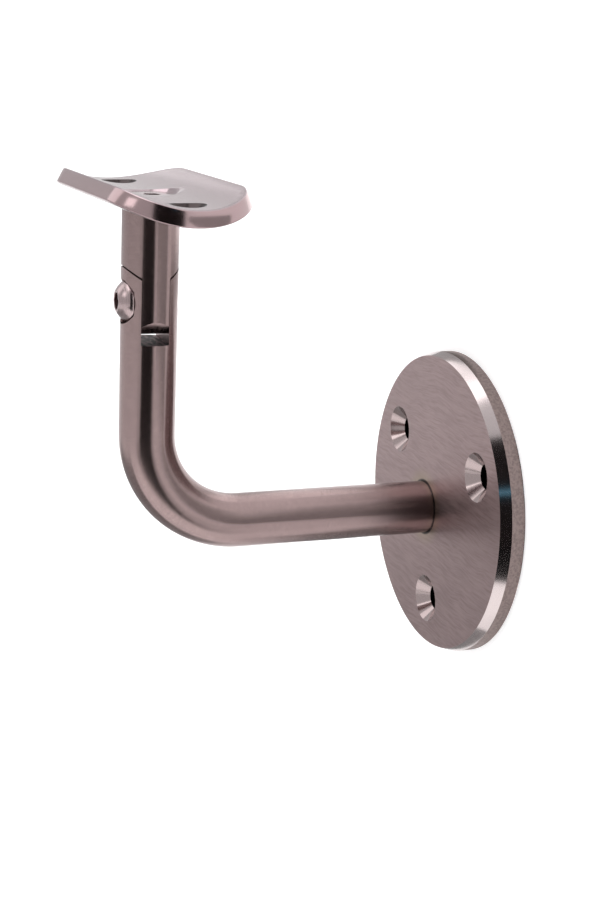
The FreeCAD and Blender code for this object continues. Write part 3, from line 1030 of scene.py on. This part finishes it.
floor_card("dark_floor", left=-1.12, front=-0.85, right=-0.05, back=-0.002, grey=0.30, glow=0.05)
floor_card("bright_floor", left=0.04, front=-0.7, right=0.45, back=-0.002, grey=0.0, glow=1.5)
floor_card("black_floor", left=0.45, front=-1.0, right=1.5, back=-0.01, grey=0.012, glow=0.0)
card("cool_window", [(1.0, -0.27, 0.37), (1.0, -0.19, 0.37), (1.0, -0.19, 0.44),
                     (1.0, -0.27, 0.44)], grey=0.0, glow=0.8, tint=(0.25, 0.62, 0.85))
wall_card("bright_wall", left=-0.13, low=0.056, right=-0.02, high=0.12, grey=0.0, glow=1.9)
wall_card("grey_wall", left=0.05, low=-0.01, right=0.50, high=0.08, grey=0.30, glow=0.22)
wall_card("soft_wall", left=-0.60, low=0.02, right=-0.131, high=0.40, grey=0.0, glow=0.92)
# painted shadow: the next two grey cards stand for the plate's shadow on the wall just below and
# above it, seen only in reflections
wall_card("plate_shadow_below", left=-0.09, low=-0.14, right=0.03, high=-0.043, grey=0.2, glow=0.12)
wall_card("plate_shadow_above", left=-0.08, low=0.0405, right=0.02, high=0.055, grey=0.3, glow=0.2)

# %% [markdown]
# ## The holes in the wall
#
# Behind each of the plate's screw holes there is a drilled hole in the wall, so no white wall
# shows at the bottom of a countersink. A disc of painted shade stands in for that hole's dark
# inside.

# %% Painted shade for the drilled holes behind the plate's screw holes
DRILLED_RADIUS = 3.2 * MM
DRILLED_FRONT = -0.02 * DRILLED_RADIUS
# painted shade: a near-black disc at the bottom of each hole
drilled_shade = stage_material("drilled_hole_shade", (0.006, 0.005, 0.005, 1.0))
angle = np.linspace(0, 2 * math.pi, 32, endpoint=False)
for middle_x, middle_z in SCREW_HOLES:
    disc = np.stack([middle_x + DRILLED_RADIUS * np.cos(angle),
                     np.full(angle.shape, DRILLED_FRONT),
                     middle_z + DRILLED_RADIUS * np.sin(angle)], -1)
    sheet("drilled_hole_shade", disc.tolist(), drilled_shade)
print("drilled holes:", len(SCREW_HOLES))

# %% [markdown]
# ## The black screen
#
# Steel in an evenly white room looks like plastic. A curved black screen on the camera's side
# draws the dark bands along the bar and round the saddle's edge.

# %% A curved black screen round the camera
SCREEN_COLUMNS = 25


def curved_screen(name, radius, first, last, low, high):
    """A part of a drum: a grid over angle and height. The angle goes from -Y toward +X.

    x = radius * sin(angle),  y = -radius * cos(angle),  z = height"""
    angle, height = np.meshgrid(np.radians(np.linspace(first, last, SCREEN_COLUMNS)),
                                [low, high])
    points = np.stack([radius * np.sin(angle), -radius * np.cos(angle), height], -1)
    count = points.shape[1]
    column = np.arange(count - 1)
    faces = np.stack([column, column + 1, column + 1 + count, column + count], -1)
    mesh = bpy.data.meshes.new(name)
    mesh.from_pydata(points.reshape(-1, 3).tolist(), [], faces.tolist())
    mesh.materials.append(stage_material(name + "_black", (0.012, 0.010, 0.010, 1.0)))
    made = new_object(name, mesh)
    made.visible_camera = False
    print(name, "spans", last - first, "degrees")


curved_screen("black_screen", radius=1.3, first=44, last=112, low=FLOOR_Z, high=2.3)

# %% [markdown]
# ## Lamps
#
# Three large soft boxes and a pale sky light the room. Large lamps give wide, soft highlights,
# and the Standard view shows the colours as they are.

# %% Soft boxes and a pale sky
SKY = (0.75, 0.75, 0.76, 1.0)


def soft_box(name, place, target, width, height, power):
    """A rectangular lamp at place that faces target."""
    data = bpy.data.lights.new(name, "AREA")
    data.shape = "RECTANGLE"
    data.size = width
    data.size_y = height
    data.energy = power
    lamp = new_object(name, data)
    lamp.location = place
    lamp.rotation_euler = (Vector(target) - Vector(place)).to_track_quat("-Z", "Y").to_euler()
    lamp.visible_camera = False


soft_box("overhead", place=(-0.25, -0.55, 1.35), target=(0.0, -0.05, 0.0), width=1.5,
         height=1.0, power=8.5)
soft_box("front", place=(0.05, -1.5, 0.75), target=(0.0, 0.0, 0.0), width=0.5, height=0.5,
         power=1.3)
soft_box("left_wall", place=(-0.9, -0.9, 0.6), target=(-0.3, 0.0, 0.1), width=0.7, height=0.7,
         power=1.5)
world = bpy.data.worlds.new("pale_room")
world.use_nodes = True
world.node_tree.nodes["Background"].inputs["Color"].default_value = SKY
world.node_tree.nodes["Background"].inputs["Strength"].default_value = 1.0
bpy.context.scene.world = world
bpy.context.scene.view_settings.view_transform = "Standard"
bpy.context.scene.view_settings.look = "None"
